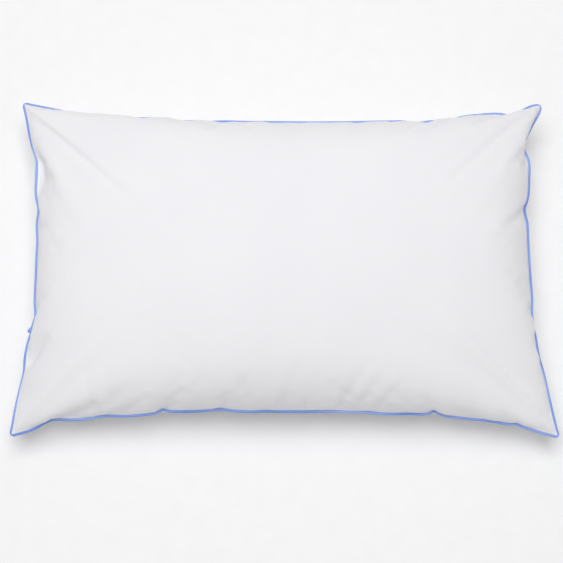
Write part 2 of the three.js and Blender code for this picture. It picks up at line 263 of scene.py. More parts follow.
def simulate():
    """Fills the two flat sheets and returns them as two grids of places, [row, column, xyz]."""
    number, places = flat_grid()
    faces = np.vstack([quads(number[0]), quads(number[1])[:, ::-1]])
    mesh = bpy.data.meshes.new("flat_case")
    mesh.from_pydata(places.tolist(), [], faces.tolist())
    case = bpy.data.objects.new("flat_case", mesh)
    bpy.context.scene.collection.objects.link(case)

    targets = ear_targets(number)
    case.shape_key_add(name="flat")
    ears = case.shape_key_add(name="ears")
    for corner, (place, _) in targets.items():
        ears.data[corner].co = place
    for when, share in ((1, 0.0), (EAR_FRAMES, 1.0)):
        ears.value = share
        ears.keyframe_insert("value", frame=when)
    weigh(case, "held", [(corner, hold) for corner, (_, hold) in targets.items()])
    weigh(case, "filled", enumerate(pressure_share(places)))
    weigh(case, "seam", [(corner, 1.0) for corner in seam_loop(number[0])])
    set_cloth(case)

    ground = bpy.data.meshes.new("ground")
    ground.from_pydata(square(1, TABLE_LEVEL), [], [(0, 1, 2, 3)])
    table = bpy.data.objects.new("ground", ground)
    bpy.context.scene.collection.objects.link(table)
    table.modifiers.new("collision", "COLLISION")
    table.collision.thickness_outer = SOLVER_GAP
    table.collision.cloth_friction = 5

    for when in range(1, FRAMES + 1):
        bpy.context.scene.frame_set(when)
    filled = case.evaluated_get(bpy.context.evaluated_depsgraph_get()).to_mesh()
    found = np.empty(len(places) * 3)
    filled.vertices.foreach_get("co", found)
    found = found.reshape(-1, 3)
    bpy.data.objects.remove(case)
    bpy.data.objects.remove(table)
    bpy.context.scene.frame_set(1)
    return found[number[0]], found[number[1]]


def seam_loop(grid):
    """The border of a grid, anticlockwise from the near left corner."""
    return np.concatenate([grid[0, :-1], grid[:-1, -1], grid[-1, :0:-1], grid[:0:-1, 0]])


# ---------------------------------------- finer sheets and the seam's own frame


def spline(count, at):
    """A matrix that takes values at 0 .. count - 1 to a natural cubic spline's values at `at`."""
    solve = np.eye(count) * 4
    solve[0, 0] = solve[-1, -1] = 1
    second = np.zeros((count, count))
    for k in range(1, count - 1):
        solve[k, k - 1] = solve[k, k + 1] = 1
        second[k, k - 1:k + 2] = (6, -12, 6)
    bend = np.linalg.solve(solve, second)
    low = np.clip(np.floor(at).astype(int), 0, count - 2)
    t = (at - low)[:, None]
    whole = np.eye(count)
    return ((1 - t) * whole[low] + t * whole[low + 1]
            + (((1 - t)**3 - (1 - t)) * bend[low] + (t**3 - t) * bend[low + 1]) / 6)


def graded(length):
    """Distances across the cloth, closer together near the seam."""
    edge = np.array(EDGE_STEPS) * MM
    inner = np.linspace(edge[-1], length - edge[-1], round((length - 2 * edge[-1]) / FINE_CELL) + 1)
    return np.r_[edge[:-1], inner, length - edge[-2::-1]]


U = graded(STITCHED_LENGTH)
V = graded(STITCHED_WIDTH)


def refined(grid):
    """The simulated grid at the finer places U and V."""
    along_u = spline(CELLS_X + 1, U / STITCHED_LENGTH * CELLS_X)
    along_v = spline(CELLS_Y + 1, V / STITCHED_WIDTH * CELLS_Y)
    return np.einsum("aj,bi,jic->abc", along_v, along_u, grid)


def unit(vectors):
    return vectors / np.maximum(np.linalg.norm(vectors, axis=-1, keepdims=True), 1e-12)


def normals(grid):
    """Unit normals of a grid of places, upwards where the grid lies flat."""
    du = np.gradient(grid, U, axis=1)
    dv = np.gradient(grid, V, axis=0)
    return unit(np.cross(du, dv))


def smoothed_loop(values, reach):
    """A closed run of vectors averaged over `reach` neighbours each way."""
    total = sum(np.roll(values, k, axis=0) * (reach + 1 - abs(k)) for k in range(-reach, reach + 1))
    return total / (reach + 1)**2


def eased(grid):
    """One light smoothing of the coarse sheet's inside, which takes out the solver's jitter."""
    out = grid.copy()
    near = grid[:-2, 1:-1] + grid[2:, 1:-1] + grid[1:-1, :-2] + grid[1:-1, 2:]
    out[1:-1, 1:-1] = (1 - 4 * EASE) * grid[1:-1, 1:-1] + EASE * near
    return out


def eased_border(top, bottom):
    """The shared border smoothed along itself, apart from the four tips."""
    loop = seam_loop(top)
    tips = [0, CELLS_X, CELLS_X + CELLS_Y, 2 * CELLS_X + CELLS_Y]
    soft = 0.5 * loop + 0.25 * (np.roll(loop, 1, axis=0) + np.roll(loop, -1, axis=0))
    soft[tips] = loop[tips]
    for grid in (top, bottom):
        set_border(grid, soft)


def set_border(grid, loop):
    """Writes a seam loop back round the border of a grid."""
    rows, columns = grid.shape[0] - 1, grid.shape[1] - 1
    grid[0, :-1] = loop[:columns]
    grid[:-1, -1] = loop[columns:columns + rows]
    grid[-1, :0:-1] = loop[columns + rows:2 * columns + rows]
    grid[:0:-1, 0] = loop[2 * columns + rows:]


def rows_inside(count):
    """Picks a grid's corners with its outermost rows replaced by the row `count` further in."""
    return np.ix_(np.clip(np.arange(len(V)), count, len(V) - 1 - count),
                  np.clip(np.arange(len(U)), count, len(U) - 1 - count))


def seam_frame(top, bottom, up_top, up_bottom):
    """Unit vectors at each seam station: outwards from the seam, and up from its plane."""
    seam = seam_loop(top)
    inside = rows_inside(FRAME_ROWS)
    into_top = unit(seam_loop(top[inside]) - seam)
    into_bottom = unit(seam_loop(bottom[inside]) - seam)
    out = seam_loop(up_top[inside]) - seam_loop(up_bottom[inside]) - into_top - into_bottom
    out = smoothed_loop(unit(out), 3)
    along = unit(np.roll(seam, -1, axis=0) - np.roll(seam, 1, axis=0))
    out = unit(out - (out * along).sum(-1, keepdims=True) * along)
    return out, unit(np.cross(out, along))


def build_shell():
    """Everything about the filled case's shape that the pieces share."""
    top, bottom = (eased(g) for g in simulate())
    eased_border(top, bottom)
    top, bottom = refined(top), refined(bottom)
    draw_in_tucks(top)
    draw_in_tucks(bottom)
    up_top, up_bottom = normals(top), normals(bottom)
    out, up = seam_frame(top, bottom, up_top, up_bottom)

    middle = (top + bottom) / 2
    half = (top - bottom) / 2
    size = np.linalg.norm(half, axis=-1, keepdims=True)
    thin = 0.5 * MM                     # where the sheets nearly meet, only their normals count
    lift = unit(up_top + up_bottom + 2 * half / (size + thin))
    set_border(lift, up)

    # The panels stand apart by the thickness of the seam's layers, and by more inside an empty ear.
    apart = (half * lift).sum(-1, keepdims=True)
    inset = np.minimum(np.minimum(U, U[::-1])[None, :], np.minimum(V, V[::-1])[:, None])[..., None]
    room = OUTER_LIFT + EAR_LOFT * (1 - np.exp(-(inset / LOFT_REACH)**2))
    wanted = np.sqrt(np.maximum(apart, 0)**2 + room**2)
    half = half + lift * (wanted - apart)
    flat_u = seam_loop(np.broadcast_to(U, (len(V), len(U))))
    flat_v = seam_loop(np.broadcast_to(V[:, None], (len(V), len(U))))
    return dict(middle=middle, half=half, lift=lift, seam=seam_loop(top), out=out, up=up,
                flat_u=flat_u, flat_v=flat_v)


def on_grid(grid, u, v):
    """A grid's values at flat-cloth places (u, v), straight between its corners."""
    i = np.clip(np.searchsorted(U, u) - 1, 0, len(U) - 2)
    j = np.clip(np.searchsorted(V, v) - 1, 0, len(V) - 2)
    s = ((u - U[i]) / (U[i + 1] - U[i]))[..., None]
    t = ((v - V[j]) / (V[j + 1] - V[j]))[..., None]
    low = (1 - s) * grid[j, i] + s * grid[j, i + 1]
    high = (1 - s) * grid[j + 1, i] + s * grid[j + 1, i + 1]
    return (1 - t) * low + t * high


def tip_distance():
    """How far each seam station is from the nearest tip, in flat cloth."""
    flat_u, flat_v = shell["flat_u"], shell["flat_v"]
    return np.minimum(flat_u, STITCHED_LENGTH - flat_u) + np.minimum(flat_v, STITCHED_WIDTH - flat_v)


def seam_layer(depth, height):
    """A point for each seam station, `depth` inside the stitch line and `height` above its plane. The
    layers are trimmed narrower towards the four tips, and follow the empty ears between the panels."""
    flat_u, flat_v = shell["flat_u"], shell["flat_v"]
    depth = depth * np.clip(tip_distance() / TIP_TRIM, TIP_SHARE, 1)
    u = depth + flat_u * (1 - 2 * depth / STITCHED_LENGTH)
    v = depth + flat_v * (1 - 2 * depth / STITCHED_WIDTH)
    place = on_grid(shell["middle"], u, v)
    on_long_side = (flat_v == 0) | (flat_v == V[-1])
    beside = on_grid(shell["middle"], np.where(on_long_side, u, flat_u),
                     np.where(on_long_side, flat_v, v))
    gone = np.linalg.norm(place - beside, axis=-1)
    place = place - shell["out"] * np.maximum(depth - gone, 0)[:, None]
    up = unit(shell["up"] + on_grid(shell["lift"], u, v))
    return place + up * height


# ---------------------------------------- meshes and materials


def add_mesh(name, places, faces, uvs=None):
    """A smooth-shaded object; uvs, one pair for each corner, place the weave and the twist."""
    mesh = bpy.data.meshes.new(name)
    mesh.from_pydata([tuple(p) for p in places], [], [tuple(int(c) for c in f) for f in faces])
    mesh.polygons.foreach_set("use_smooth", [True] * len(mesh.polygons))
    if uvs is not None:
        layer = mesh.uv_layers.new(name="cloth")
        corners = np.empty(len(mesh.loops), np.int32)
        mesh.loops.foreach_get("vertex_index", corners)
        layer.uv.foreach_set("vector", np.asarray(uvs, np.float32)[corners].ravel())
    mesh.update()
    piece = bpy.data.objects.new(name, mesh)
    bpy.context.scene.collection.objects.link(piece)
    return piece


def thicken(piece, thickness):
    """Gives a sheet its real thickness, half on each side."""
    solid = piece.modifiers.new("thickness", "SOLIDIFY")
    solid.thickness = thickness
    solid.offset = 0
    return piece


def stands_for(piece, node, material):
    """Puts a piece on the pillow in place of its plain solid."""
    piece.data.materials.append(material)
    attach(piece, "root")
    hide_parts(node)
    return piece


SOCKETS = {
    "roughness": "Roughness",
    "sheen": "Sheen Weight",
    "sheen_roughness": "Sheen Roughness",
    "specular": "Specular IOR Level",
    "anisotropic": "Anisotropic",
}


class Nodes:
    """Short calls for building one material's node tree."""

    def __init__(self, name):
        self.material = bpy.data.materials.new(name)
        self.material.use_nodes = True
        self.tree = self.material.node_tree
        self.shader = self.tree.nodes["Principled BSDF"]

    def add(self, kind, inputs=(), **settings):
        node = self.tree.nodes.new(kind)
        for key, value in settings.items():
            setattr(node, key, value)
        for key, value in dict(inputs).items():
            self.set(node.inputs[key], value)
        return node

    def set(self, socket, value):
        if isinstance(value, bpy.types.NodeSocket):
            self.tree.links.new(value, socket)
        else:
            socket.default_value = value

    def math(self, operation, a, b=0.0):
        return self.add("ShaderNodeMath", {0: a, 1: b}, operation=operation).outputs[0]

    def half_and_half(self, wave):
        """A wave from -1 to 1 as a height from 0 to 1."""
        return self.add("ShaderNodeMath", {0: wave, 1: 0.5, 2: 0.5}, operation="MULTIPLY_ADD").outputs[0]

    def noise(self, place, scale, detail=2.0):
        node = self.add("ShaderNodeTexNoise", {"Vector": place, "Scale": scale, "Detail": detail})
        return node.outputs["Fac"]

    def stretched(self, place, scale):
        return self.add("ShaderNodeMapping", {"Vector": place, "Scale": scale}).outputs["Vector"]

    def blend(self, factor, first, second):
        ramp = self.add("ShaderNodeValToRGB", {"Fac": factor})
        ramp.color_ramp.elements[0].color = (*first, 1)
        ramp.color_ramp.elements[1].color = (*second, 1)
        ramp.color_ramp.elements[0].position = 0.3
        ramp.color_ramp.elements[1].position = 0.7
        return ramp.outputs["Color"]

    def bump(self, height, distance, strength=1.0, before=None):
        node = self.add("ShaderNodeBump", {"Height": height, "Distance": distance, "Strength": strength})
        if before is not None:
            self.set(node.inputs["Normal"], before)
        return node.outputs["Normal"]

    def finished(self, colour, normal, **values):
        """Links the colour and the bump, sets the shader's constants and returns the material."""
        self.set(self.shader.inputs["Base Color"], colour)
        self.set(self.shader.inputs["Normal"], normal)
        for name, value in values.items():
            self.shader.inputs[SOCKETS[name]].default_value = value
        return self.material

    def cloth_place(self):
        return self.add("ShaderNodeUVMap", uv_map="cloth").outputs["UV"]

    def object_place(self):
        return self.add("ShaderNodeTexCoord").outputs["Object"]


def weave_height(n, place, pitch, turn=0.0):
    """Threads over and under each other, as a height from 0 to 1."""
    turned = n.add("ShaderNodeMapping", {"Vector": place, "Rotation": (0, 0, turn)}).outputs["Vector"]
    axes = n.add("ShaderNodeSeparateXYZ", {0: turned}).outputs
    waves = [n.math("SINE", n.math("MULTIPLY", axes[k], 2 * math.pi / pitch)) for k in (0, 1)]
    return n.half_and_half(n.math("MULTIPLY", *waves))


def cotton_percale():
    """White percale: fine plain weave, uneven yarns, a faint bloom and hardly any shine."""
    n = Nodes("cotton_percale")
    place = n.cloth_place()
    warp = n.noise(n.stretched(place, (1400, 60, 1)), 1.0)
    weft = n.noise(n.stretched(place, (60, 1400, 1)), 1.0)
    yarns = n.math("ADD", warp, weft)
    patches = n.noise(n.object_place(), 9.0, 3.0)
    tone = n.math("ADD", n.math("MULTIPLY", yarns, 0.25), n.math("MULTIPLY", patches, 0.5))
    colour = n.blend(tone, (0.858, 0.852, 0.885), (0.895, 0.889, 0.918))
    threads = n.bump(weave_height(n, place, 0.42 * MM), 0.03 * MM, 0.5)
    slubs = n.bump(yarns, 0.05 * MM, 0.5, threads)
    rumple = n.bump(n.noise(n.object_place(), 55.0, 4.0), 0.8 * MM, 0.35, slubs)
    return n.finished(colour, rumple, roughness=0.85, sheen=0.12, sheen_roughness=0.5, specular=0.25)


def piping_cotton():
    """Cornflower-blue bias strip: the weave runs at 45 degrees and is rubbed paler in places."""
    n = Nodes("piping_cotton")
    place = n.cloth_place()
    wear = n.noise(n.stretched(place, (14, 200, 1)), 1.0, 3.0)
    colour = n.blend(wear, (0.18, 0.31, 0.78), (0.34, 0.47, 0.90))
    threads = n.bump(weave_height(n, place, 0.5 * MM, math.pi / 4), 0.06 * MM, 0.8)
    ribs = n.bump(n.noise(n.stretched(place, (320, 60, 1)), 1.0, 2.0), 0.25 * MM, 0.6, threads)
    return n.finished(colour, ribs, roughness=0.75, sheen=0.2, sheen_roughness=0.4, specular=0.3)


def spun_thread(name, dark, light, turns_per_mm):
    """Plied yarn: slanting ridges along its length."""
    n = Nodes(name)
    place = n.cloth_place()
    axes = n.add("ShaderNodeSeparateXYZ", {0: place}).outputs
    slant = n.math("ADD", n.math("MULTIPLY", axes[0], 2 * math.pi * turns_per_mm / MM),
                   n.math("MULTIPLY", axes[1], 4 * math.pi))
    ridges = n.half_and_half(n.math("SINE", slant))
    fuzz = n.noise(n.object_place(), 900.0, 3.0)
    twist = n.bump(ridges, 0.08 * MM, 0.8)
    hairy = n.bump(fuzz, 0.05 * MM, 0.6, twist)
    return n.finished(n.blend(fuzz, dark, light), hairy, roughness=0.6, sheen=0.3)


def fibre_wadding():
    """Hollow-fibre filling: tangled strands over soft clumps."""
    n = Nodes("fibre_wadding")
    place = n.object_place()
    strands = n.noise(n.stretched(place, (260, 900, 500)), 1.0, 6.0)
    crossing = n.noise(n.stretched(place, (900, 240, 500)), 1.0, 6.0)
    tangle = n.math("ADD", n.math("MULTIPLY", strands, 0.5), n.math("MULTIPLY", crossing, 0.5))
    colour = n.blend(tangle, (0.80, 0.80, 0.79), (0.93, 0.93, 0.92))
    clumps = n.bump(n.noise(place, 70.0, 3.0), 2.0 * MM, 0.5)
    return n.finished(colour, n.bump(tangle, 0.8 * MM, 0.8, clumps), roughness=0.95, sheen=0.6)


def satin_tape():
    """Blank white satin tape with a fine rib across it."""
    n = Nodes("satin_tape")
    place = n.cloth_place()
    axes = n.add("ShaderNodeSeparateXYZ", {0: place}).outputs
    floats = n.noise(n.stretched(place, (2200, 300, 1)), 1.0, 3.0)
    rib_pitch = 0.35 * MM
    ribs = n.half_and_half(n.math("SINE", n.math("MULTIPLY", axes[1], 2 * math.pi / rib_pitch)))
    colour = n.blend(floats, (0.82, 0.82, 0.83), (0.90, 0.90, 0.90))
    ribbed = n.bump(floats, 0.04 * MM, 0.6, n.bump(ribs, 0.03 * MM, 0.6))
    return n.finished(colour, ribbed, roughness=0.35, anisotropic=0.5, sheen=0.2)


# ---------------------------------------- the two panels


def nearest_station():
    """For each grid corner, the seam station straight out from it and its distance in flat cloth."""
    rows, columns = len(V) - 1, len(U) - 1
    j, i = np.mgrid[0:rows + 1, 0:columns + 1]
    gaps = np.stack([V[j], U[-1] - U[i], V[-1] - V[j], U[i]])
    stations = np.stack([i, columns + j, 2 * columns + rows - i, 2 * (columns + rows) - j])
    side = gaps.argmin(0)
    pick = np.take_along_axis
    station = pick(stations, side[None], 0)[0] % (2 * (columns + rows))
    return station, pick(gaps, side[None], 0)[0]


def loop_wave(arc, seed, waves, shortest, longest):
    """A smooth irregular wave along the seam, made of sines from a fixed seed."""
    draw = np.random.default_rng(seed)
    total = np.zeros_like(arc)
    for _ in range(waves):
        length = draw.uniform(shortest, longest)
        total += np.sin(2 * math.pi * arc / length + draw.uniform(0, 2 * math.pi))
    return total / math.sqrt(waves)


# Gathers beside the stitches: height, how far in they stand highest, and the mixed waves' number,
# shortest and longest.
PUCKERS = (
    (0.30 * MM, 5 * MM, 6, 11 * MM, 27 * MM),
    (0.55 * MM, 14 * MM, 4, 34 * MM, 75 * MM),
)
PUCKER_FADE = 40 * MM           # they die away this near to a tip


def pucker_field(seed):
    """How far the cloth beside the seam stands out or in where the stitches gather it."""
    station, inset = nearest_station()
    arc = np.r_[0, np.cumsum(np.hypot(np.diff(shell["flat_u"]), np.diff(shell["flat_v"])))]
    away = np.clip(tip_distance() / PUCKER_FADE, 0, 1)
    fade = away**2 * (3 - 2 * away)
    total = np.zeros_like(inset)
    for k, (height, reach, waves, shortest, longest) in enumerate(PUCKERS):
        wave = loop_wave(arc, seed + 7 * k, waves, shortest, longest) * fade
        near = inset / reach
        total += height * wave[station] * near * np.exp(1 - near)
    return total


# Soft folds that the gathered seams send into the front panel, in millimetres of flat cloth from the
# near left corner: where each starts, its heading in degrees from the long side, length, depth, width.
FOLDS = (
    ((118, 10), 92, 95, 2.0, 8),
    ((144, 8), 88, 90, 1.9, 8),
    ((196, 8), 80, 45, 1.4, 7),
    ((215, 8), 98, 40, 1.1, 7),
    ((318, 8), 98, 60, 1.2, 8),
    ((362, 8), 70, 95, 2.0, 8),
    ((390, 8), 64, 60, 1.3, 7),
    ((440, 8), 66, 100, 2.3, 8),
    ((462, 8), 62, 95, 2.1, 8),
    ((488, 8), 60, 80, 1.8, 7),
    ((562, 8), 100, 55, 1.8, 8),
    ((600, 8), 112, 60, 1.3, 8),
    ((660, 10), 118, 60, 1.2, 8),
    ((62, 14), 60, 60, 0.8, 9),
    ((95, 462), -52, 75, 1.5, 9),
    ((727, 205), 172, 45, 1.3, 6),
    ((727, 236), 196, 40, 1.0, 6),
    ((640, 466), -100, 50, 1.0, 8),
    ((8, 175), 12, 50, 1.2, 8),
)
FOLD_BOW = 0.05                 # each fold bows sideways by this share of its length
FOLD_ONSET = 5                  # and deepens over its length divided by this
RIDGE_HEIGHT = 0.55             # of the ridge beside it, as a share of its depth
RIDGE_PLACE = 1.5               # and how many of its widths away that ridge runs

# Where a stitch row caught a tuck and draws the near seam in: place along it and depth, in millimetres.
TUCKS = ((206, 2.4), (566, 3.4), (676, 1.6))
TUCK_WIDTH = 7 * MM
TUCK_REACH = 16 * MM


def draw_in_tucks(grid):
    """Pulls the near border of a sheet inwards at each tuck, less and less further from the seam."""
    for where, depth in TUCKS:
        along = np.exp(-((U - where * MM) / TUCK_WIDTH)**2)
        away = np.exp(-(V / TUCK_REACH)**2)
        grid[..., 1] += depth * MM * away[:, None] * along[None, :]


def gather_folds():
    """Each fold is a valley with a low ridge on one side, fading out at both ends."""
    u, v = np.meshgrid(U / MM, V / MM)
    total = np.zeros_like(u)
    for (start_u, start_v), heading, length, depth, width in FOLDS:
        angle = math.radians(heading)
        run = ((u - start_u) * math.cos(angle) + (v - start_v) * math.sin(angle)) / length
        bow = FOLD_BOW * length * np.sin(math.pi * np.clip(run, 0, 1))
        side = ((v - start_v) * math.cos(angle) - (u - start_u) * math.sin(angle) - bow) / width
        fade = np.clip(run * FOLD_ONSET + 0.5, 0, 1) * np.clip(1 - run, 0, 1)
        ridge = RIDGE_HEIGHT * np.exp(-(side - RIDGE_PLACE)**2)
        total += depth * fade * (ridge - np.exp(-side**2))
    return total * MM


def closing_groove():
    """The topstitching presses a groove along the closed filling slit."""
    depth, width, run_out = 0.9 * MM, 1.6 * MM, 4 * MM
    x = U - STITCHED_LENGTH / 2
    start = np.clip((x - CLOSING_RANGE[0]) / run_out, 0, 1)
    end = np.clip((CLOSING_RANGE[1] - x) / run_out, 0, 1)
    across = np.exp(-((STITCHED_WIDTH - V - CLOSING_INSET) / width)**2)
    return -depth * across[:, None] * (start * end)[None, :]


def flat_outwards(rim):
    """The way out of the flat sheet at each seam station, turning gradually round the tips."""
    turn = 50 * MM
    inner = np.stack(np.meshgrid(U.clip(turn, U[-1] - turn), V.clip(turn, V[-1] - turn)), -1)
    return unit(rim - seam_loop(inner))


def strip_between(upper, lower):
    """The faces between two closed rows of corner numbers."""
    return np.stack([np.roll(upper, -1), upper, lower, np.roll(lower, -1)], -1)


def on_fold(side, angle):
    """Points at an angle round a panel's fold against the piping, one for each seam station."""
    out, up = shell["out"], side * shell["up"]
    return shell["seam"] + up * FOLD_LIFT + FOLD_RADIUS * (np.cos(angle) * out + np.sin(angle) * up)


def outer_cloth(side, seed):
    """The cloth that shows, ending where it starts to turn round its fold, and the turn's first angle."""
    outer = shell["middle"] + side * shell["half"]
    relief = pucker_field(seed) + closing_groove()
    if side > 0:
        relief = relief + gather_folds()
    outer = outer + normals(outer) * side * relief[..., None]

    seam, out, up = shell["seam"], shell["out"], side * shell["up"]
    lead = unit(seam_loop(outer[rows_inside(LEAD_ROWS)]) - seam)
    first = np.arctan2(-(lead * out).sum(-1), (lead * up).sum(-1)).clip(0, math.pi / 2)
    first = smoothed_loop(first[:, None], 3)

    station, inset = nearest_station()
    shift = on_fold(side, first) - seam_loop(outer)
    return outer + shift[station] * np.exp(-(inset / SHIFT_REACH)**2)[..., None], first


def make_panel(name, side, seed, material):
    """One panel: the outer cloth, the fold against the piping and the turned-in allowance."""
    outer, first = outer_cloth(side, seed)
    shell["front" if side > 0 else "back"] = outer
    rings = []
    for turned in (0.33, 0.67, 1.0):
        rings.append(on_fold(side, first + (-math.pi / 2 - first) * turned))
    for depth in ALLOWANCE_ROWS:
        rings.append(seam_layer(depth, side * ALLOWANCE_LIFT))

    number = corner_numbers(outer)
    rim = np.stack([shell["flat_u"], shell["flat_v"]], -1)
    away = flat_outwards(rim)
    faces = [quads(number)]
    places = [outer.reshape(-1, 3)]
    flat = [np.stack(np.meshgrid(U, V), -1).reshape(-1, 2)]
    last = seam_loop(number)
    for k, ring in enumerate(rings):
        here = number.size + k * len(ring) + np.arange(len(ring))
        faces.append(strip_between(last, here))
        places.append(ring)
        flat.append(rim + away * (k + 1) * ALLOWANCE / len(rings))
        last = here
    faces = np.vstack(faces)
    if side < 0:
        faces = faces[:, ::-1]
    panel = add_mesh(name + "_cloth", np.vstack(places), faces, np.vstack(flat))
    return stands_for(thicken(panel, CLOTH), name, material)


# ---------------------------------------- the filling


def make_fill(material):
    """The fibre batt, a lofty pad that stops short of the seam allowance."""
    u = np.linspace(FILL_INSET, STITCHED_LENGTH - FILL_INSET, FILL_COLUMNS)
    v = np.linspace(FILL_INSET, STITCHED_WIDTH - FILL_INSET, FILL_ROWS)
    u, v = np.meshgrid(u, v)
    draw = np.random.default_rng(5)
    nap = np.abs(draw.normal(0, FILL_NAP, u.shape))
    nap = (nap + np.roll(nap, 1, 0) + np.roll(nap, 1, 1) + np.roll(nap, (1, 1), (0, 1))) / 4
    drop = CLOTH / 2 + FILL_CLEARANCE + nap
    skins = []
    for side, key in ((1, "front"), (-1, "back")):
        inwards = -side * on_grid(normals(shell[key]), u, v)
        skins.append((on_grid(shell[key], u, v) + inwards * drop[..., None]).reshape(-1, 3))

    number = np.arange(u.size).reshape(u.shape)
    border = seam_loop(number)
    rim = (skins[0][border] + skins[1][border]) / 2
    rim = rim + unit(rim - np.array([0, 0, START_HEIGHT])) * FILL_RIM
    edge = 2 * u.size + np.arange(len(rim))
    faces = np.vstack([quads(number), (quads(number) + u.size)[:, ::-1],
                       strip_between(border, edge), strip_between(edge, border + u.size)])
    batt = add_mesh("fibre_batt", np.vstack([*skins, rim]), faces)
    return stands_for(batt, "fill", material)


# ---------------------------------------- piping and its cord


def bead_centre():
    """The middle of the piping's round part, one point for each seam station."""
    touch = BEAD_RADIUS + FOLD_RADIUS + CLOTH / 2
    stand_off = math.sqrt(touch**2 - FOLD_LIFT**2)
    return smoothed_loop(shell["seam"] + shell["out"] * stand_off, 1)


def arc_length(line):
    """How far along a line of points each point lies."""
    return np.r_[0, np.cumsum(np.linalg.norm(np.diff(line, axis=0), axis=1))]


def piping_order():
    """Seam stations from the join, once round and on over the lap, and how many make one round."""
    seam = shell["seam"]
    left = np.arange(2 * (len(U) - 1) + len(V) - 1, len(seam))
    join = int(left[np.abs(seam[left, 1] - JOIN_Y).argmin()])
    order = [(join + k) % len(seam) for k in range(len(seam) + 1)]
    lap = int(np.searchsorted(arc_length(seam[order]), JOIN_OVERLAP))
    return order + [(join + k) % len(seam) for k in range(1, lap + 1)], len(seam)


def make_piping(material):
    """The bias strip: a flange, once round the cord, and the other flange, with lapped ends."""
    order, around = piping_order()
    centre, seam = bead_centre()[order], shell["seam"][order]
    out, up = shell["out"][order], shell["up"][order]
    wrap = np.zeros(len(order))         # 1 where the strip's end lies round its start
    wrap[around - 1:around + 1] = (0.4, 0.8)
    wrap[around + 1:] = 1
    flare = np.zeros(len(order))        # 1 where the cut end stands out
    flare[-3:] = (0.3, 1, 0.9)

    middle = BEAD_RADIUS - STRIP / 2
    first = math.pi - math.asin(FLANGE_LIFT / middle)
    flanges = {}
    for side in (1, -1):
        short = seam_layer(LAP_DEPTH, side * FLANGE_LIFT)[order]
        flanges[side] = []
        for depth in FLANGE_ROWS:
            full = seam_layer(depth, side * FLANGE_LIFT)[order]
            stepped = short + out * (ALLOWANCE - depth) / ALLOWANCE * LAP_STEP
            flanges[side].append(full + (stepped - full) * wrap[:, None])

    radius = (middle * (1 + LAP_SWELL * wrap + END_SWELL * flare))[:, None]
    poke = out * (JOIN_POKE * flare)[:, None]
    bead = []
    for angle in np.linspace(first, -first, BEAD_ROWS):
        bead.append(centre + poke + radius * (math.cos(angle) * out + math.sin(angle) * up))
    places = np.stack([*flanges[1], *bead, *flanges[-1][::-1]], 1)
    number = corner_numbers(places)
    across = arc_length(places[10])     # any station away from the join will do
    flat = np.stack(np.meshgrid(arc_length(seam), across, indexing="ij"), -1)
    strip = add_mesh("piping_strip", places.reshape(-1, 3), quads(number), flat.reshape(-1, 2))
    return stands_for(thicken(strip, STRIP), "piping_cover", material)


def closed_line(line, step):
    """A function that resamples values along a closed line at about `step`, the places and the length."""
    looped = np.vstack([line, line[:1]])
    arc = arc_length(looped)
    count = round(arc[-1] / step)
    at = np.linspace(0, arc[-1], count, endpoint=False)

    def sampled(values):
        closed = np.vstack([values, values[:1]])
        return np.stack([np.interp(at, arc, closed[:, c]) for c in range(3)], -1)

    return sampled, at, arc[-1]


def make_piping_cord(material):
    """Three plies twisted together, closed on itself inside the strip."""
    sampled, at, length = closed_line(bead_centre(), CORD_STEP)
    line, out, up = sampled(bead_centre()), unit(sampled(shell["out"])), unit(sampled(shell["up"]))
    turns = round(length / CORD_LAY)
    rings = []
    for angle in np.linspace(0, 2 * math.pi, CORD_SIDES, endpoint=False):
        radius = CORD_RADIUS * (0.86 + 0.12 * math.cos(CORD_PLIES * angle))
        turned = (angle + 2 * math.pi * turns * at / length)[:, None]
        rings.append(line + radius * (np.cos(turned) * out + np.sin(turned) * up))
    places = np.stack(rings, 1)
    return tube_piece("piping_core", places, at, True, "piping_cord", material)


def tube_piece(name, places, at, closed, node, material):
    """A tube from rings of places [station, round, xyz], closed on itself or capped at its ends."""
    number = corner_numbers(places)
    rows = np.vstack([number, number[:1]]) if closed else number
    faces = [tuple(f) for f in quads(np.hstack([rows, rows[:, :1]]))]
    if not closed:
        faces += [tuple(number[0][::-1]), tuple(number[-1])]
    sides = places.shape[1]
    flat = np.stack(np.meshgrid(at, np.arange(sides) / sides, indexing="ij"), -1).reshape(-1, 2)
    return stands_for(add_mesh(name, places.reshape(-1, 3), faces, flat), node, material)


# ---------------------------------------- threads


def thread_tube(name, line, closed, node, material, sides):
    """A thread of the real thickness along a line of points."""
    if closed:
        along = unit(np.roll(line, -1, axis=0) - np.roll(line, 1, axis=0))
    else:
        along = unit(np.gradient(line, axis=0))
    guide = np.array([0.13, 0.21, 0.97])    # a direction that no thread runs along for long
    across = unit(np.cross(along, guide))
    over = np.cross(across, along)
    rings = []
    for angle in np.linspace(0, 2 * math.pi, sides, endpoint=False):
        rings.append(line + THREAD_RADIUS * (math.cos(angle) * across + math.sin(angle) * over))
    places = np.stack(rings, 1)
    return tube_piece(name, places, arc_length(line), closed, node, material)


def stitch_rise(stitch, steepness):
    """0 at each needle hole and 1 along the middle of each stitch."""
    phase = stitch % 1
    return np.clip(steepness * np.minimum(phase, 1 - phase), 0, 1)


def stitched_line(low, high, step):
    """A lockstitch row: up on the cloth for most of each stitch, down through it at each hole."""
    sampled, at, length = closed_line(shell["seam"], step / 4)
    stitches = round(length / step)
    lower, upper = sampled(low), sampled(high)
    rise = stitch_rise(at / length * stitches, 6)[:, None]
    return lower + (upper - lower) * rise


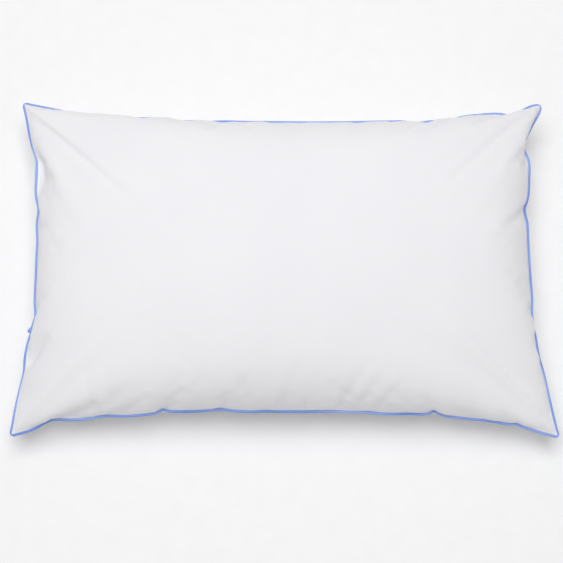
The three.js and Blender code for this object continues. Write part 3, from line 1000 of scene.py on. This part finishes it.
def make_seam_threads(material):
    """Needle and bobbin thread of the piping seam, locked in the middle of the layers."""
    for side, name, node in ((1, "seam_upper_thread", "seam_needle_thread"),
                             (-1, "seam_lower_thread", "seam_bobbin_thread")):
        low = seam_layer(STITCH_DEPTH, side * LOCK_LIFT)
        high = seam_layer(STITCH_DEPTH, side * THREAD_LIFT)
        line = stitched_line(low, high, STITCH_LENGTH)
        thread_tube(name, line, True, node, material, HIDDEN_THREAD_SIDES)


def make_overlock(material):
    """The overlock stitch that binds the raw edges of all the layers together."""
    start = ALLOWANCE - OVERLOCK_WIDTH
    edge = ALLOWANCE + 2 * THREAD_RADIUS
    path = ((start, THREAD_LIFT), (edge, THREAD_LIFT), (edge + THREAD_RADIUS, 0),
            (edge, -THREAD_LIFT), (start, -THREAD_LIFT), (start, 0))
    sampled, at, _ = closed_line(shell["seam"], OVERLOCK_STEP / len(path))
    loops = len(at) // len(path)
    layers = [sampled(seam_layer(depth, height)) for depth, height in path]
    line = np.array([layers[k % len(path)][k] for k in range(loops * len(path))])
    thread_tube("overlock_edge_thread", line, True, "overlock_thread", material, HIDDEN_THREAD_SIDES)


def make_closing_threads(material):
    """The row of topstitching that closes the filling slit, seen on both panels."""
    x = np.arange(*CLOSING_RANGE, STITCH_LENGTH / 5)
    u = x + STITCHED_LENGTH / 2
    v = np.full_like(u, STITCHED_WIDTH - CLOSING_INSET)
    rise = stitch_rise((x - CLOSING_RANGE[0]) / STITCH_LENGTH, 5)
    proud = 0.8 * THREAD_RADIUS         # the thread's middle lies this far above the cloth
    height = -CLOTH / 2 + rise * (CLOTH + proud)
    for side, key, name, node in ((1, "front", "closing_upper_thread", "closing_needle_thread"),
                                  (-1, "back", "closing_lower_thread", "closing_bobbin_thread")):
        skin = shell[key]
        facing = side * on_grid(normals(skin), u, v)
        line = on_grid(skin, u, v) + facing * height[:, None]
        thread_tube(name, line, False, node, material, SHOWN_THREAD_SIDES)


# ---------------------------------------- care label


def make_label(material):
    """A blank tape that hangs from the far seam, down outside the back panel."""
    back = shell["back"]
    x = np.linspace(*LABEL_RANGE, LABEL_COLUMNS)
    u = x + STITCHED_LENGTH / 2
    start = on_grid(back, u, np.full_like(u, STITCHED_WIDTH))
    drops = LABEL_DROP * np.arange(LABEL_ROWS) / (LABEL_ROWS - 1)
    skin = back[:, (U > u[0] - LABEL_MARGIN) & (U < u[-1] + LABEL_MARGIN)].reshape(-1, 3)
    nearby = 4 * MM                     # cloth this close above or below counts as level with a row
    least = start[:, 1].mean() + 0.4 * MM
    lines = []
    for drop in drops:
        level = skin[np.abs(skin[:, 2] - (start[:, 2] - drop).mean()) < nearby]
        reach = level[:, 1].max() if len(level) else start[:, 1].mean()
        lines.append(max(reach + LABEL_CLEARANCE, least))
    lines = np.convolve(np.r_[lines[0], lines, lines[-1]], (0.25, 0.5, 0.25), "valid")
    places = []
    for line, drop in zip(lines, drops):
        down = drop / LABEL_DROP
        curl = LABEL_CURL * down**2 + LABEL_BOW * np.sin(np.linspace(0, math.pi, len(x))) * down
        places.append(np.stack([x, line + curl, start[:, 2] - drop], -1))
    places = np.array(places)
    number = corner_numbers(places)
    flat = np.stack(np.meshgrid(x - x[0], drops), -1).reshape(-1, 2)
    tape = add_mesh("care_label_tape", places.reshape(-1, 3), quads(number), flat)
    return stands_for(thicken(tape, LABEL_TAPE), "care_label", material)


# ---------------------------------------- camera, light and floor

CAMERA_DISTANCE = 2.3
CAMERA_ELEVATION = math.radians(74)
CAMERA_LENS = 110.6
AIM = Vector((-0.002, -0.030, 0.070))
KEY_PLACE = (-0.25, 0.5, 4.2)
KEY_SIZE = 3.0
KEY_POWER = 116
SKY_STRENGTH = 0.42
FLOOR_HALF = 6.0


def add_camera():
    """The photo's viewpoint: from the near side, looking steeply down."""
    camera = bpy.data.objects.new("camera", bpy.data.cameras.new("camera"))
    camera.data.lens = CAMERA_LENS
    camera.data.sensor_width = 36
    back = Vector((0, -math.cos(CAMERA_ELEVATION), math.sin(CAMERA_ELEVATION)))
    camera.location = AIM + back * CAMERA_DISTANCE
    camera.rotation_mode = "QUATERNION"
    camera.rotation_quaternion = (-back).to_track_quat("-Z", "Y")
    bpy.context.scene.collection.objects.link(camera)
    bpy.context.scene.camera = camera


def add_area_light(name, place, size, power):
    """A square soft light aimed at the pillow."""
    light = bpy.data.lights.new(name, "AREA")
    light.shape = "SQUARE"
    light.size = size
    light.energy = power
    lamp = bpy.data.objects.new(name, light)
    lamp.location = place
    lamp.rotation_mode = "QUATERNION"
    lamp.rotation_quaternion = (AIM - Vector(place)).to_track_quat("-Z", "Y")
    bpy.context.scene.collection.objects.link(lamp)


def add_stage():
    """A pale matte floor with a very faint grain, and white light from all round."""
    floor = add_mesh("floor", square(FLOOR_HALF, 0), [(0, 1, 2, 3)])
    n = Nodes("floor_paper")
    grain = n.noise(n.object_place(), 40.0, 2.0)
    n.set(n.shader.inputs["Base Color"], n.blend(grain, (0.935, 0.935, 0.935), (0.955, 0.955, 0.955)))
    n.shader.inputs["Roughness"].default_value = 0.9
    floor.data.materials.append(n.material)
    world = bpy.data.worlds.new("studio")
    world.use_nodes = True
    world.node_tree.nodes["Background"].inputs["Color"].default_value = (1.0, 1.0, 1.0, 1)
    world.node_tree.nodes["Background"].inputs["Strength"].default_value = SKY_STRENGTH
    bpy.context.scene.world = world
    add_area_light("key_light", KEY_PLACE, KEY_SIZE, KEY_POWER)
    bpy.context.scene.view_settings.view_transform = "Standard"


# ---------------------------------------- the pillow


def rest_on_floor():
    """Lowers or lifts the whole shell so that its cloth just touches the floor."""
    lowest = (shell["middle"] - shell["half"])[..., 2].min()
    for key in ("middle", "seam"):
        shell[key][..., 2] += CLOTH / 2 + FLOOR_CLEARANCE - lowest


add_camera()
add_stage()
shell = build_shell()
rest_on_floor()
cotton = cotton_percale()
sewing_thread = spun_thread("sewing_thread", (0.84, 0.84, 0.85), (0.92, 0.92, 0.92), 1.2)
front = make_panel("front_panel", 1, 11, cotton)
back = make_panel("back_panel", -1, 29, cotton)
batt = make_fill(fibre_wadding())
make_piping(piping_cotton())
make_piping_cord(spun_thread("cord_cotton", (0.78, 0.77, 0.74), (0.90, 0.89, 0.86), 0.3))
make_seam_threads(sewing_thread)
make_overlock(sewing_thread)
make_closing_threads(sewing_thread)
label = make_label(satin_tape())
